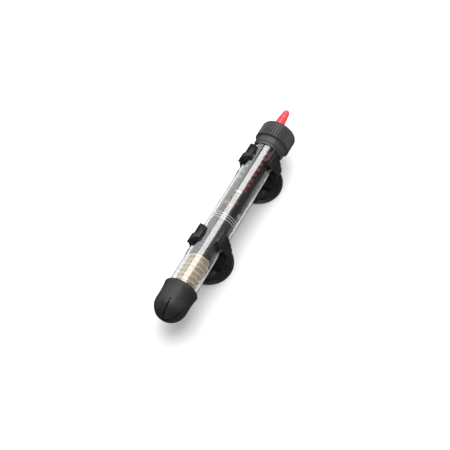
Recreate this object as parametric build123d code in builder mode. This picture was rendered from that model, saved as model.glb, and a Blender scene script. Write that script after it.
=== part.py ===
from build123d import *
import os
from math import cos, radians, sin

# Submersible aquarium heater: a glass tube with a thermostat and a wound core inside, lying
# along Y on two suction cups. Millimetres, +Z up, rims of the cups on Z = 0, origin under the
# middle of the length. A "station" is a distance along the heater from its bottom tip.

# ---- driving dimensions -------------------------------------------------------------------
TOTAL_LENGTH = 195.0
AXIS_HEIGHT = 24.5

GLASS_RADIUS = 10.75
GLASS_WALL = 1.25
GLASS_TOP = 171.0
FIT_GAP = 0.05
CLOSE_GAP = 0.02
RUNNING_GAP = 0.06

GUARD_RADIUS = 12.1
GUARD_RIM_RADIUS = 12.75
GUARD_LENGTH = 28.0
SLIT_WIDTH = 0.9
SLIT_END = 12.5
SLIT_CUTS = 3

LIP_START = 154.8
LIP_RADIUS = 11.3
CAP_START = 157.0
CAP_STEP = 162.0
CAP_TOP = 176.3
CAP_RADIUS = 13.5
SKIRT_RADIUS = 11.85
SKIRT_EDGE = 0.4
CAP_EDGE_RADIUS = 3.2
RIB_COUNT = 39
RIB_DEPTH = 0.65
RIB_GROOVE_ANGLE = 55.0
RIB_GROOVE_MOUTH = 2.15
RIB_TURN = -1.2
RIB_FOOT = 0.9

KNOB_X = -3.5
KNOB_BASE = 176.6
KNOB_BASE_RADIUS = 4.2
KNOB_TIP_RADIUS = 2.6
FLUTE_COUNT = 7
SHAFT_RADIUS = 1.5
SHAFT_START = 96.0
SHAFT_END = 187.0

GLAND_X = 6.2
GLAND_RADIUS = 3.9
GLAND_TOP = 178.1
GLAND_BORE_RADIUS = 2.8
GLAND_BORE_LENGTH = 6.0

STOPPER_START = 153.0
O_RING_STATIONS = (158.5, 164.5)
O_RING_WIRE = 0.75
O_RING_GROOVE_DEPTH = 1.5

SLEEVE_RADIUS = 8.95
SLEEVE_WALL = 0.5
SLEEVE_START = 85.0
SLEEVE_END = 152.5
SLOT_ANGLE = 13.0
SLOT_WIDTH = 1.0
SLOT_START = 105.0
SLOT_END = 151.4
POINTER_STATION = 110.6

HOLDER_START = 55.0
HOLDER_END = 80.0
HOLDER_RADIUS = 8.9
HOLDER_WALL = 0.6

CORE_START = 14.0
CORE_END = 53.5
CORE_RADIUS = 7.2
CORE_BORE = 3.2
COIL_PITCH = 4.1
COIL_WIRE = 0.6
COIL_TURNS = 9

FRAME_START = 86.8
FRAME_TOP = -5.0
FRAME_THICKNESS = 1.2
FRAME_HALF_WIDTH = 4.6
BIMETAL_START = 87.5
BIMETAL_END = 137.5
BIMETAL_PIVOT = 90.0
BIMETAL_X = 2.3
BIMETAL_HALF_WIDTH = 2.0
BIMETAL_LEVEL = -2.6
BIMETAL_THICKNESS = 0.5
CONTACT_STATION = 129.0
CONTACT_RADIUS = 1.2

WIRE_RADIUS = 0.8
LEAD_RADIUS = 0.5
WIRE_OFFSET = 1.4

CLIP_CENTRES = {"clip_upper": 142.3, "clip_lower": 65.6}
CUP_CENTRES = {"cup_upper": 142.3, "cup_lower": 65.6}
CLIP_OPENING = 28.0
CLIP_BACK = 9.5
CLIP_FRONT = 12.0
CLIP_BASE_BACK = 5.6
CLIP_BASE_FRONT = 6.0
CLIP_HALF_WIDTH = 12.3
CLIP_LOBE_RADIUS = 14.7
CLIP_ARM_RADIUS = 14.5
CLIP_ARM_REACH = 15.3
CLIP_TIP_RADIUS = 12.7
CLIP_BASE_LEVEL = 6.5
CLIP_BASE_THICKNESS = 3.9
NECK_RADIUS = 3.0
CUP_RADIUS = 18.4
CUP_HEAD_RADIUS = 4.3

# ---- derived values and planes ------------------------------------------------------------
HALF = TOTAL_LENGTH / 2
GLASS_BORE = GLASS_RADIUS - GLASS_WALL
GUARD_BORE = GLASS_RADIUS + FIT_GAP
DOME_CENTRE = GUARD_RADIUS
SLEEVE_BORE = SLEEVE_RADIUS - SLEEVE_WALL
HEATER_AXIS = Axis((0, -HALF, AXIS_HEIGHT), (0, 1, 0))
LENGTHWISE = Plane(origin=(0, -HALF, AXIS_HEIGHT), x_dir=(0, 1, 0), z_dir=(1, 0, 0))

os.makedirs("parts", exist_ok=True)


def across(station):
    """Plane square to the heater at a station: its x is X, its y is up, it faces the bottom tip."""
    return Plane(origin=(0, station - HALF, AXIS_HEIGHT), x_dir=(1, 0, 0), z_dir=(0, -1, 0))


def lengthwise_at(x, rise=0.0):
    """Lengthwise plane moved sideways and up: its x is the station, its y is up."""
    return Plane(origin=(x, -HALF, AXIS_HEIGHT + rise), x_dir=(0, 1, 0), z_dir=(1, 0, 0))


def axis_at(x, rise=0.0):
    """Axis parallel to the heater's own, moved sideways and up."""
    return Axis((x, -HALF, AXIS_HEIGHT + rise), (0, 1, 0))


def band(start, end, inner, outer, mode=Mode.ADD):
    """Rectangle from station to station and from radius to radius, in a lengthwise sketch."""
    with Locations(((start + end) / 2, (inner + outer) / 2)):
        Rectangle(end - start, outer - inner, mode=mode)


def block(low_x, high_x, low_y, high_y, mode=Mode.ADD):
    """Rectangle between two corners, in any sketch."""
    with Locations(((low_x + high_x) / 2, (low_y + high_y) / 2)):
        Rectangle(high_x - low_x, high_y - low_y, mode=mode)


# ---- glass tube and bottom guard ------------------------------------------------------------
TUBE_END_CENTRE = DOME_CENTRE + 0.2

with BuildPart() as glass_tube:
    with BuildSketch(LENGTHWISE):
        with BuildLine():
            Line((TUBE_END_CENTRE - GLASS_BORE, 0), (TUBE_END_CENTRE - GLASS_RADIUS, 0))
            RadiusArc(
                (TUBE_END_CENTRE - GLASS_RADIUS, 0), (TUBE_END_CENTRE, GLASS_RADIUS), GLASS_RADIUS
            )
            Line((TUBE_END_CENTRE, GLASS_RADIUS), (GLASS_TOP, GLASS_RADIUS))
            Line((GLASS_TOP, GLASS_RADIUS), (GLASS_TOP, GLASS_BORE))
            Line((GLASS_TOP, GLASS_BORE), (TUBE_END_CENTRE, GLASS_BORE))
            RadiusArc((TUBE_END_CENTRE, GLASS_BORE), (TUBE_END_CENTRE - GLASS_BORE, 0), -GLASS_BORE)
        make_face()
    revolve(axis=HEATER_AXIS)
    fillet(glass_tube.edges().group_by(Axis.Y)[-1], 0.4)

glass_tube.part.label = "glass_tube"
export_step(glass_tube.part, "parts/glass_tube.step")

FLARE_START = 17.5
RIM_WIDEST = GUARD_LENGTH - 2.2
RIM_SHOULDER = (GUARD_LENGTH - 0.3, GUARD_RIM_RADIUS - 1.0)
RIM_GROOVE = GUARD_LENGTH - 5.0
RIM_GROOVE_RADIUS = 0.28

with BuildPart() as bottom_guard:
    with BuildSketch(LENGTHWISE):
        with BuildLine():
            RadiusArc((0, 0), (DOME_CENTRE, GUARD_RADIUS), GUARD_RADIUS)
            Line((DOME_CENTRE, GUARD_RADIUS), (FLARE_START, GUARD_RADIUS))
            flare = TangentArc(
                (FLARE_START, GUARD_RADIUS), (RIM_WIDEST - 1.0, GUARD_RIM_RADIUS - 0.05), tangent=(1, 0)
            )
            ThreePointArc(flare @ 1, (RIM_WIDEST + 0.6, GUARD_RIM_RADIUS), RIM_SHOULDER)
            Line(RIM_SHOULDER, (GUARD_LENGTH, GUARD_BORE + 0.5))
            Line((GUARD_LENGTH, GUARD_BORE + 0.5), (GUARD_LENGTH, GUARD_BORE))
            Line((GUARD_LENGTH, GUARD_BORE), (TUBE_END_CENTRE, GUARD_BORE))
            RadiusArc((TUBE_END_CENTRE, GUARD_BORE), (TUBE_END_CENTRE - GUARD_BORE, 0), -GUARD_BORE)
            Line((TUBE_END_CENTRE - GUARD_BORE, 0), (0, 0))
        make_face()
        with Locations((RIM_GROOVE, GUARD_RADIUS + 0.5)):
            Circle(RIM_GROOVE_RADIUS, mode=Mode.SUBTRACT)
    revolve(axis=HEATER_AXIS)
    with BuildSketch(across(SLIT_END)):
        for cut in range(SLIT_CUTS):
            SlotOverall(2.4 * GUARD_RADIUS, SLIT_WIDTH, rotation=90 + cut * 180 / SLIT_CUTS)
    extrude(amount=SLIT_END + 1, mode=Mode.SUBTRACT)

bottom_guard.part.label = "bottom_guard"
export_step(bottom_guard.part, "parts/bottom_guard.step")

# ---- top cap ----------------------------------------------------------------------------------
CAP_CEILING = GLASS_TOP + 0.2
CAP_BORE = GLASS_RADIUS + FIT_GAP
SHAFT_CLEARANCE = 0.2

with BuildPart() as top_cap:
    with BuildSketch(LENGTHWISE):
        with BuildLine():
            Line((CAP_CEILING, 0), (CAP_CEILING, CAP_BORE))
            Line((CAP_CEILING, CAP_BORE), (LIP_START, CAP_BORE))
            Line((LIP_START, CAP_BORE), (LIP_START, LIP_RADIUS))
            Line((LIP_START, LIP_RADIUS), (CAP_START, LIP_RADIUS))
            Line((CAP_START, LIP_RADIUS), (CAP_START, SKIRT_RADIUS - SKIRT_EDGE))
            RadiusArc(
                (CAP_START, SKIRT_RADIUS - SKIRT_EDGE),
                (CAP_START + SKIRT_EDGE, SKIRT_RADIUS),
                SKIRT_EDGE,
            )
            Line((CAP_START + SKIRT_EDGE, SKIRT_RADIUS), (CAP_STEP, SKIRT_RADIUS))
            Line((CAP_STEP, SKIRT_RADIUS), (CAP_STEP + RIB_DEPTH, CAP_RADIUS))
            Line((CAP_STEP + RIB_DEPTH, CAP_RADIUS), (CAP_TOP - CAP_EDGE_RADIUS, CAP_RADIUS))
            RadiusArc(
                (CAP_TOP - CAP_EDGE_RADIUS, CAP_RADIUS),
                (CAP_TOP, CAP_RADIUS - CAP_EDGE_RADIUS),
                CAP_EDGE_RADIUS,
            )
            Line((CAP_TOP, CAP_RADIUS - CAP_EDGE_RADIUS), (CAP_TOP, 0))
            Line((CAP_TOP, 0), (CAP_CEILING, 0))
        make_face()
    revolve(axis=HEATER_AXIS)
    with BuildSketch(across(CAP_TOP + 1)):
        with PolarLocations(CAP_RADIUS, RIB_COUNT, RIB_TURN):
            Trapezoid(RIB_GROOVE_MOUTH, 2 * RIB_DEPTH, RIB_GROOVE_ANGLE, rotation=90)
    extrude(amount=CAP_TOP + 1 - CAP_STEP - RIB_FOOT, mode=Mode.SUBTRACT)
    with BuildSketch(across(CAP_TOP + 1)):
        with Locations((KNOB_X, 0)):
            Circle(SHAFT_RADIUS + SHAFT_CLEARANCE)
        with Locations((GLAND_X, 0)):
            Circle(GLAND_RADIUS + CLOSE_GAP)
    extrude(amount=CAP_TOP + 2 - CAP_CEILING, mode=Mode.SUBTRACT)

top_cap.part.label = "top_cap"
export_step(top_cap.part, "parts/top_cap.step")

# ---- cable gland: a moulded bush with a blind bore for the cord -------------------------------
GLAND_START = CAP_CEILING
GLAND_EDGE_RADIUS = 0.8

with BuildPart() as cable_gland:
    with BuildSketch(lengthwise_at(GLAND_X)):
        band(GLAND_START, GLAND_TOP, 0, GLAND_RADIUS)
        band(GLAND_TOP - GLAND_BORE_LENGTH, GLAND_TOP, 0, GLAND_BORE_RADIUS, mode=Mode.SUBTRACT)
    revolve(axis=axis_at(GLAND_X))
    fillet(cable_gland.edges().group_by(Axis.Y)[-1].sort_by(SortBy.RADIUS)[-1], GLAND_EDGE_RADIUS)
    with BuildSketch(across(GLAND_TOP - GLAND_BORE_LENGTH)):
        with Locations((GLAND_X, WIRE_OFFSET), (GLAND_X, -WIRE_OFFSET)):
            Circle(WIRE_RADIUS + FIT_GAP)
    extrude(amount=GLAND_TOP, mode=Mode.SUBTRACT)

cable_gland.part.label = "cable_gland"
export_step(cable_gland.part, "parts/cable_gland.step")

# ---- stopper with its O-rings -----------------------------------------------------------------
STOPPER_RADIUS = GLASS_BORE - FIT_GAP
SHAFT_RING_SEAT = 1.8
SHAFT_RING_RADIUS = 2.2
SHAFT_RING_WIRE = 0.66
O_RING_SEAT_GAP = 0.15

with BuildPart() as stopper:
    with BuildSketch(LENGTHWISE):
        band(STOPPER_START, GLASS_TOP, 0, STOPPER_RADIUS)
        for ring_station in O_RING_STATIONS:
            band(
                ring_station - O_RING_WIRE - O_RING_SEAT_GAP,
                ring_station + O_RING_WIRE + O_RING_SEAT_GAP,
                STOPPER_RADIUS - O_RING_GROOVE_DEPTH,
                GLASS_RADIUS,
                mode=Mode.SUBTRACT,
            )
    revolve(axis=HEATER_AXIS)
    with BuildSketch(across(GLASS_TOP)):
        with Locations((KNOB_X, 0)):
            Circle(SHAFT_RADIUS + FIT_GAP)
        with Locations((GLAND_X, WIRE_OFFSET), (GLAND_X, -WIRE_OFFSET)):
            Circle(WIRE_RADIUS + FIT_GAP)
    extrude(amount=GLASS_TOP - STOPPER_START, mode=Mode.SUBTRACT)
    with BuildSketch(across(GLASS_TOP)):
        with Locations((KNOB_X, 0)):
            Circle(SHAFT_RING_RADIUS + SHAFT_RING_WIRE + 2 * FIT_GAP)
    extrude(amount=SHAFT_RING_SEAT, mode=Mode.SUBTRACT)

stopper.part.label = "stopper"
export_step(stopper.part, "parts/stopper.step")

with BuildPart() as stopper_o_rings:
    with BuildSketch(LENGTHWISE):
        for ring_station in O_RING_STATIONS:
            with Locations((ring_station, GLASS_BORE - O_RING_WIRE - CLOSE_GAP)):
                Circle(O_RING_WIRE)
    revolve(axis=HEATER_AXIS)

stopper_o_rings.part.label = "stopper_o_rings"
export_step(stopper_o_rings.part, "parts/stopper_o_rings.step")

with BuildPart() as shaft_o_ring:
    with BuildSketch(lengthwise_at(KNOB_X)):
        with Locations((GLASS_TOP - SHAFT_RING_SEAT / 2, SHAFT_RING_RADIUS)):
            Circle(SHAFT_RING_WIRE)
    revolve(axis=axis_at(KNOB_X))

shaft_o_ring.part.label = "shaft_o_ring"
export_step(shaft_o_ring.part, "parts/shaft_o_ring.step")

# ---- knob, adjusting shaft, retaining ring ----------------------------------------------------
KNOB_FLUTE_RADIUS = 0.6
KNOB_DOME = 2.4
KNOB_TIP_FLAT = 0.9
KNOB_FOOT = 0.8
FLUTE_START = KNOB_BASE + 2.2
FLUTE_CIRCLE = KNOB_BASE_RADIUS + 0.25
FLUTE_REACH = 30.0
FLUTE_LEAN = (KNOB_BASE_RADIUS - KNOB_TIP_RADIUS) / (TOTAL_LENGTH - KNOB_BASE)
SOCKET_END = SHAFT_END + 0.2

with BuildPart() as knob:
    with BuildSketch(lengthwise_at(KNOB_X)):
        with BuildLine():
            Line((KNOB_BASE, 0), (KNOB_BASE, KNOB_BASE_RADIUS))
            Line((KNOB_BASE, KNOB_BASE_RADIUS), (KNOB_BASE + KNOB_FOOT, KNOB_BASE_RADIUS))
            side = Line(
                (KNOB_BASE + KNOB_FOOT, KNOB_BASE_RADIUS),
                (TOTAL_LENGTH - KNOB_DOME, KNOB_TIP_RADIUS),
            )
            TangentArc(side @ 1, (TOTAL_LENGTH, KNOB_TIP_FLAT), tangent=side % 1)
            Line((TOTAL_LENGTH, KNOB_TIP_FLAT), (TOTAL_LENGTH, 0))
            Line((TOTAL_LENGTH, 0), (KNOB_BASE, 0))
        make_face()
    revolve(axis=axis_at(KNOB_X))
    for flute in range(FLUTE_COUNT):
        turn = 360 / FLUTE_COUNT * (flute + 0.5)
        out_x = sin(radians(turn))
        out_z = cos(radians(turn))
        foot = Vector(
            KNOB_X + FLUTE_CIRCLE * out_x,
            FLUTE_START - HALF,
            AXIS_HEIGHT + FLUTE_CIRCLE * out_z,
        )
        along = Vector(-FLUTE_LEAN * out_x, 1, -FLUTE_LEAN * out_z)
        with BuildSketch(Plane(origin=foot, z_dir=along)):
            Circle(KNOB_FLUTE_RADIUS)
        extrude(amount=FLUTE_REACH, mode=Mode.SUBTRACT)
    with BuildSketch(across(SOCKET_END)):
        with Locations((KNOB_X, 0)):
            Circle(SHAFT_RADIUS + CLOSE_GAP)
    extrude(amount=SOCKET_END - KNOB_BASE, mode=Mode.SUBTRACT)

knob.part.label = "knob"
export_step(knob.part, "parts/knob.step")

THREAD_GROOVE = 0.25
THREAD_PITCH = 1.5
THREAD_START = 100.0
THREAD_TURNS = 33
SHAFT_CHAMFER = 0.3

with BuildPart() as adjusting_shaft:
    with BuildSketch(lengthwise_at(KNOB_X)):
        band(SHAFT_START, SHAFT_END, 0, SHAFT_RADIUS)
        for groove in range(THREAD_TURNS):
            with Locations((THREAD_START + groove * THREAD_PITCH, SHAFT_RADIUS)):
                RegularPolygon(THREAD_GROOVE * 1.4, 4, mode=Mode.SUBTRACT)
    revolve(axis=axis_at(KNOB_X))
    chamfer(adjusting_shaft.edges().group_by(Axis.Y)[0], SHAFT_CHAMFER)

adjusting_shaft.part.label = "adjusting_shaft"
export_step(adjusting_shaft.part, "parts/adjusting_shaft.step")

RETAINER_START = 151.6
RETAINER_END = 152.4
RETAINER_RADIUS = 2.9
RETAINER_SLIT = 1.0

with BuildPart() as shaft_retainer:
    with BuildSketch(across(RETAINER_END)):
        with Locations((KNOB_X, 0)):
            Circle(RETAINER_RADIUS)
            Circle(SHAFT_RADIUS + CLOSE_GAP, mode=Mode.SUBTRACT)
        with Locations((KNOB_X, -(RETAINER_RADIUS + SHAFT_RADIUS) / 2)):
            Rectangle(RETAINER_SLIT, RETAINER_RADIUS, mode=Mode.SUBTRACT)
    extrude(amount=RETAINER_END - RETAINER_START)

shaft_retainer.part.label = "shaft_retainer"
export_step(shaft_retainer.part, "parts/shaft_retainer.step")

# ---- pointer: a nut on the shaft, an arm through the sleeve's slot, a finger over the scale ----
FINGER_INNER = SLEEVE_RADIUS + 0.12
FINGER_OUTER = GLASS_BORE - 0.15
FINGER_RADIUS = (FINGER_INNER + FINGER_OUTER) / 2
FINGER_SPAN = 30.0
FINGER_WIDTH = 1.3
NUT_RADIUS = 2.7
NUT_LENGTH = 4.0
ARM_GAP = 0.12
ARM_FOOT = 0.5
FINGER_OVERHANG = 1.5
SLOT_X = -SLEEVE_RADIUS * sin(radians(SLOT_ANGLE))
ARM_TOP = SLEEVE_RADIUS * cos(radians(SLOT_ANGLE)) + 0.2

with BuildPart() as pointer:
    with BuildSketch(across(POINTER_STATION + FINGER_WIDTH / 2)):
        with Locations((KNOB_X, 0)):
            Circle(NUT_RADIUS)
        block(SLOT_X - SLOT_WIDTH / 2 + ARM_GAP, SLOT_X + SLOT_WIDTH / 2 - ARM_GAP, ARM_FOOT, ARM_TOP)
        with Locations((KNOB_X, 0)):
            Circle(SHAFT_RADIUS + RUNNING_GAP, mode=Mode.SUBTRACT)
    extrude(amount=NUT_LENGTH / 2)
    with BuildSketch(across(POINTER_STATION + FINGER_WIDTH / 2)):
        with Locations((KNOB_X, 0)):
            RegularPolygon(NUT_RADIUS + 0.1, 6)
            Circle(SHAFT_RADIUS + RUNNING_GAP, mode=Mode.SUBTRACT)
    extrude(amount=NUT_LENGTH)
    with BuildSketch(across(POINTER_STATION + FINGER_WIDTH / 2)):
        with BuildLine():
            finger_line = CenterArc((0, 0), FINGER_RADIUS, 90 + SLOT_ANGLE + FINGER_OVERHANG, -FINGER_SPAN)
        trace(finger_line, line_width=FINGER_OUTER - FINGER_INNER)
    extrude(amount=FINGER_WIDTH)

pointer.part.label = "pointer"
export_step(pointer.part, "parts/pointer.step")

# ---- scale sleeve and the holder below it -----------------------------------------------------
with BuildPart() as scale_sleeve:
    with BuildSketch(LENGTHWISE):
        band(SLEEVE_START, SLEEVE_END, SLEEVE_BORE, SLEEVE_RADIUS)
    revolve(axis=HEATER_AXIS)
    with BuildSketch(across(SLOT_END)):
        block(SLOT_X - SLOT_WIDTH / 2, SLOT_X + SLOT_WIDTH / 2, SLEEVE_BORE * 0.8, SLEEVE_RADIUS + 1)
    extrude(amount=SLOT_END - SLOT_START, mode=Mode.SUBTRACT)

scale_sleeve.part.label = "scale_sleeve"
export_step(scale_sleeve.part, "parts/scale_sleeve.step")

COLLAR_RADIUS = 9.1
COLLAR_GROOVE_START = HOLDER_END + 0.8
COLLAR_GROOVE_PITCH = 0.9
COLLAR_GROOVE_RADIUS = 0.22
COLLAR_GROOVES = 5
SPIGOT_LENGTH = 1.5

with BuildPart() as holder_collar:
    with BuildSketch(LENGTHWISE):
        band(HOLDER_END, SLEEVE_START, SLEEVE_BORE - 1.0, COLLAR_RADIUS)
        band(SLEEVE_START, SLEEVE_START + SPIGOT_LENGTH, SLEEVE_BORE - 1.0, SLEEVE_BORE - CLOSE_GAP)
        for groove in range(COLLAR_GROOVES):
            with Locations((COLLAR_GROOVE_START + groove * COLLAR_GROOVE_PITCH, COLLAR_RADIUS)):
                Circle(COLLAR_GROOVE_RADIUS, mode=Mode.SUBTRACT)
    revolve(axis=HEATER_AXIS)

holder_collar.part.label = "holder_collar"
export_step(holder_collar.part, "parts/holder_collar.step")

HOLDER_FLOOR = 1.5
ROD_RADIUS = 1.0
LEAD_ANGLE = 60.0
LEAD_CIRCLE = 7.72
LEAD_X = LEAD_CIRCLE * sin(radians(LEAD_ANGLE))
LEAD_RISE = LEAD_CIRCLE * cos(radians(LEAD_ANGLE))
INNER_LEAD_X = -2.6

with BuildPart() as lower_holder:
    with BuildSketch(LENGTHWISE):
        band(HOLDER_START, HOLDER_END, 0, HOLDER_RADIUS)
        band(HOLDER_START + HOLDER_FLOOR, HOLDER_END, 0, HOLDER_RADIUS - HOLDER_WALL, mode=Mode.SUBTRACT)
    revolve(axis=HEATER_AXIS)
    with BuildSketch(across(HOLDER_START + HOLDER_FLOOR)):
        Circle(ROD_RADIUS + FIT_GAP)
        with Locations((LEAD_X, LEAD_RISE), (INNER_LEAD_X, 0)):
            Circle(LEAD_RADIUS + FIT_GAP)
    extrude(amount=HOLDER_FLOOR, mode=Mode.SUBTRACT)

lower_holder.part.label = "lower_holder"
export_step(lower_holder.part, "parts/lower_holder.step")

# ---- heating core: former, winding, end discs, tie rod ----------------------------------------
with BuildPart() as heater_core:
    with BuildSketch(LENGTHWISE):
        band(CORE_START, CORE_END, CORE_BORE, CORE_RADIUS)
    revolve(axis=HEATER_AXIS)
    chamfer(heater_core.edges().group_by(Axis.Y)[-1].sort_by(SortBy.RADIUS)[-1], 0.4)

heater_core.part.label = "heater_core"
export_step(heater_core.part, "parts/heater_core.step")

COIL_CENTRE_RADIUS = CORE_RADIUS + COIL_WIRE + FIT_GAP
COIL_START = CORE_START + 1.6
COIL_END = COIL_START + COIL_TURNS * COIL_PITCH
COIL_ORIGIN = (0, COIL_START - HALF, AXIS_HEIGHT)

with BuildPart() as heating_coil:
    with BuildLine():
        upright = Helix(
            COIL_PITCH,
            COIL_END - COIL_START,
            COIL_CENTRE_RADIUS,
            center=COIL_ORIGIN,
            direction=(0, 1, 0),
            mode=Mode.PRIVATE,
        )
        winding = upright.rotate(HEATER_AXIS, LEAD_ANGLE)
        add(winding)
    with BuildSketch(Plane(origin=winding @ 0, z_dir=winding % 0)):
        Circle(COIL_WIRE)
    sweep(path=winding, is_frenet=True)

heating_coil.part.label = "heating_coil"
export_step(heating_coil.part, "parts/heating_coil.step")

DISC_RADIUS = GLASS_BORE - 0.4
DISC_THICKNESS = 1.2

with BuildPart() as lower_disc:
    with BuildSketch(across(CORE_START)):
        Circle(DISC_RADIUS)
        Circle(ROD_RADIUS + FIT_GAP, mode=Mode.SUBTRACT)
        with Locations((LEAD_X, LEAD_RISE), (INNER_LEAD_X, 0)):
            Circle(LEAD_RADIUS + FIT_GAP, mode=Mode.SUBTRACT)
    extrude(amount=DISC_THICKNESS)

lower_disc.part.label = "lower_disc"
export_step(lower_disc.part, "parts/lower_disc.step")

with BuildPart() as upper_disc:
    with BuildSketch(across(CORE_END + DISC_THICKNESS)):
        Circle(DISC_RADIUS)
        Circle(ROD_RADIUS + FIT_GAP, mode=Mode.SUBTRACT)
        with Locations((LEAD_X, LEAD_RISE), (INNER_LEAD_X, 0)):
            Circle(LEAD_RADIUS + FIT_GAP, mode=Mode.SUBTRACT)
    extrude(amount=DISC_THICKNESS)

upper_disc.part.label = "upper_disc"
export_step(upper_disc.part, "parts/upper_disc.step")

ROD_HEAD = 1.5
ROD_START = CORE_START - DISC_THICKNESS - ROD_HEAD
ROD_END = HOLDER_START + HOLDER_FLOOR + 2.6
NUT_THICKNESS = 1.8

with BuildPart() as tie_rod:
    with BuildSketch(LENGTHWISE):
        band(ROD_START, ROD_END, 0, ROD_RADIUS)
        band(ROD_START, ROD_START + ROD_HEAD, 0, ROD_RADIUS * 2)
    revolve(axis=HEATER_AXIS)

tie_rod.part.label = "tie_rod"
export_step(tie_rod.part, "parts/tie_rod.step")

with BuildPart() as tie_rod_nut:
    with BuildSketch(across(HOLDER_START + HOLDER_FLOOR + NUT_THICKNESS)):
        RegularPolygon(2.0, 6)
        Circle(ROD_RADIUS, mode=Mode.SUBTRACT)
    extrude(amount=NUT_THICKNESS)

tie_rod_nut.part.label = "tie_rod_nut"
export_step(tie_rod_nut.part, "parts/tie_rod_nut.step")


def inside(x, station, rise):
    """Point inside the heater: sideways, along, and above its axis."""
    return (x, station - HALF, AXIS_HEIGHT + rise)


# ---- leads of the winding, supply wires, crimps -----------------------------------------------
LEAD_BEND = 0.9
LEAD_TURN_STATION = 10.0
CRIMP_START = 61.0
CRIMP_LENGTH = 5.0
CRIMP_RADIUS = 1.25
UPPER_LEAD_X = 6.2 * sin(radians(LEAD_ANGLE))
UPPER_LEAD_RISE = 6.2 * cos(radians(LEAD_ANGLE))
LEAD_END = CRIMP_START + CRIMP_LENGTH / 2 - 0.3
WIRE_END = CRIMP_START + CRIMP_LENGTH / 2 + 0.3

with BuildPart() as coil_lead_upper:
    with BuildLine():
        upper_route = FilletPolyline(
            inside(LEAD_X, COIL_END + COIL_WIRE + 0.05, LEAD_RISE),
            inside(LEAD_X, HOLDER_START + HOLDER_FLOOR + 0.9, LEAD_RISE),
            inside(UPPER_LEAD_X, HOLDER_START + HOLDER_FLOOR + 2.9, UPPER_LEAD_RISE),
            inside(UPPER_LEAD_X, LEAD_END, UPPER_LEAD_RISE),
            radius=LEAD_BEND,
        )
    with BuildSketch(Plane(origin=upper_route @ 0, z_dir=upper_route % 0)):
        Circle(LEAD_RADIUS)
    sweep(path=upper_route)

coil_lead_upper.part.label = "coil_lead_upper"
export_step(coil_lead_upper.part, "parts/coil_lead_upper.step")

with BuildPart() as coil_lead_lower:
    with BuildLine():
        lower_route = FilletPolyline(
            inside(LEAD_X, COIL_START - COIL_WIRE - 0.05, LEAD_RISE),
            inside(LEAD_X, LEAD_TURN_STATION, LEAD_RISE),
            inside(INNER_LEAD_X, LEAD_TURN_STATION, 0),
            inside(INNER_LEAD_X, LEAD_END, 0),
            radius=LEAD_BEND,
        )
    with BuildSketch(Plane(origin=lower_route @ 0, z_dir=lower_route % 0)):
        Circle(LEAD_RADIUS)
    sweep(path=lower_route)

coil_lead_lower.part.label = "coil_lead_lower"
export_step(coil_lead_lower.part, "parts/coil_lead_lower.step")

CRIMP_PLACES = ((UPPER_LEAD_X, UPPER_LEAD_RISE), (INNER_LEAD_X, 0))

with BuildPart() as crimp_sleeves:
    with BuildSketch(across(CRIMP_START + CRIMP_LENGTH)):
        with Locations(*CRIMP_PLACES):
            Circle(CRIMP_RADIUS)
            Circle(WIRE_RADIUS + CLOSE_GAP, mode=Mode.SUBTRACT)
    extrude(amount=CRIMP_LENGTH)

crimp_sleeves.part.label = "crimp_sleeves"
export_step(crimp_sleeves.part, "parts/crimp_sleeves.step")

WIRE_TOP = GLAND_TOP - GLAND_BORE_LENGTH - 0.1
WIRE_BEND = 2.5

with BuildPart() as neutral_wire:
    with BuildLine():
        neutral_route = FilletPolyline(
            inside(GLAND_X, WIRE_TOP, WIRE_OFFSET),
            inside(GLAND_X, 75.0, WIRE_OFFSET),
            inside(UPPER_LEAD_X, 69.0, UPPER_LEAD_RISE),
            inside(UPPER_LEAD_X, WIRE_END, UPPER_LEAD_RISE),
            radius=WIRE_BEND,
        )
    with BuildSketch(Plane(origin=neutral_route @ 0, z_dir=neutral_route % 0)):
        Circle(WIRE_RADIUS)
    sweep(path=neutral_route)

neutral_wire.part.label = "neutral_wire"
export_step(neutral_wire.part, "parts/neutral_wire.step")

BRACKET_START = 117.5
BRACKET_END = 133.0
BRACKET_TOP = -3.8
BRACKET_THICKNESS = 0.4
TAB_X = 5.3
TAB_REACH = 0.8
WIRE_REST = BRACKET_TOP + WIRE_RADIUS + 0.03

with BuildPart() as live_wire:
    with BuildLine():
        live_route = FilletPolyline(
            inside(GLAND_X, WIRE_TOP, -WIRE_OFFSET),
            inside(GLAND_X, 133.0, -WIRE_OFFSET),
            inside(TAB_X, 126.0, WIRE_REST),
            inside(TAB_X, BRACKET_START + 0.5, WIRE_REST),
            radius=WIRE_BEND,
        )
    with BuildSketch(Plane(origin=live_route @ 0, z_dir=live_route % 0)):
        Circle(WIRE_RADIUS)
    sweep(path=live_route)

live_wire.part.label = "live_wire"
export_step(live_wire.part, "parts/live_wire.step")

POST_START = BIMETAL_PIVOT - 2.0
POST_END = BIMETAL_PIVOT + 2.0
POST_GAP = 0.06
LINK_REST = -3.9

with BuildPart() as link_wire:
    with BuildLine():
        link_route = FilletPolyline(
            inside(INNER_LEAD_X, WIRE_END, 0),
            inside(INNER_LEAD_X, 70.0, 0),
            inside(BIMETAL_X, 79.0, LINK_REST),
            inside(BIMETAL_X, POST_START - 0.05, LINK_REST),
            radius=WIRE_BEND,
        )
    with BuildSketch(Plane(origin=link_route @ 0, z_dir=link_route % 0)):
        Circle(WIRE_RADIUS)
    sweep(path=link_route)

link_wire.part.label = "link_wire"
export_step(link_wire.part, "parts/link_wire.step")

# ---- thermostat: frame, bimetal blade with its contact, fixed contact, magnet -----------------
FRAME_END = STOPPER_START - 0.1
END_PLATE_START = SHAFT_START + 1.0
END_PLATE_THICKNESS = 1.4
SPACER_LENGTH = 4.5

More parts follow.
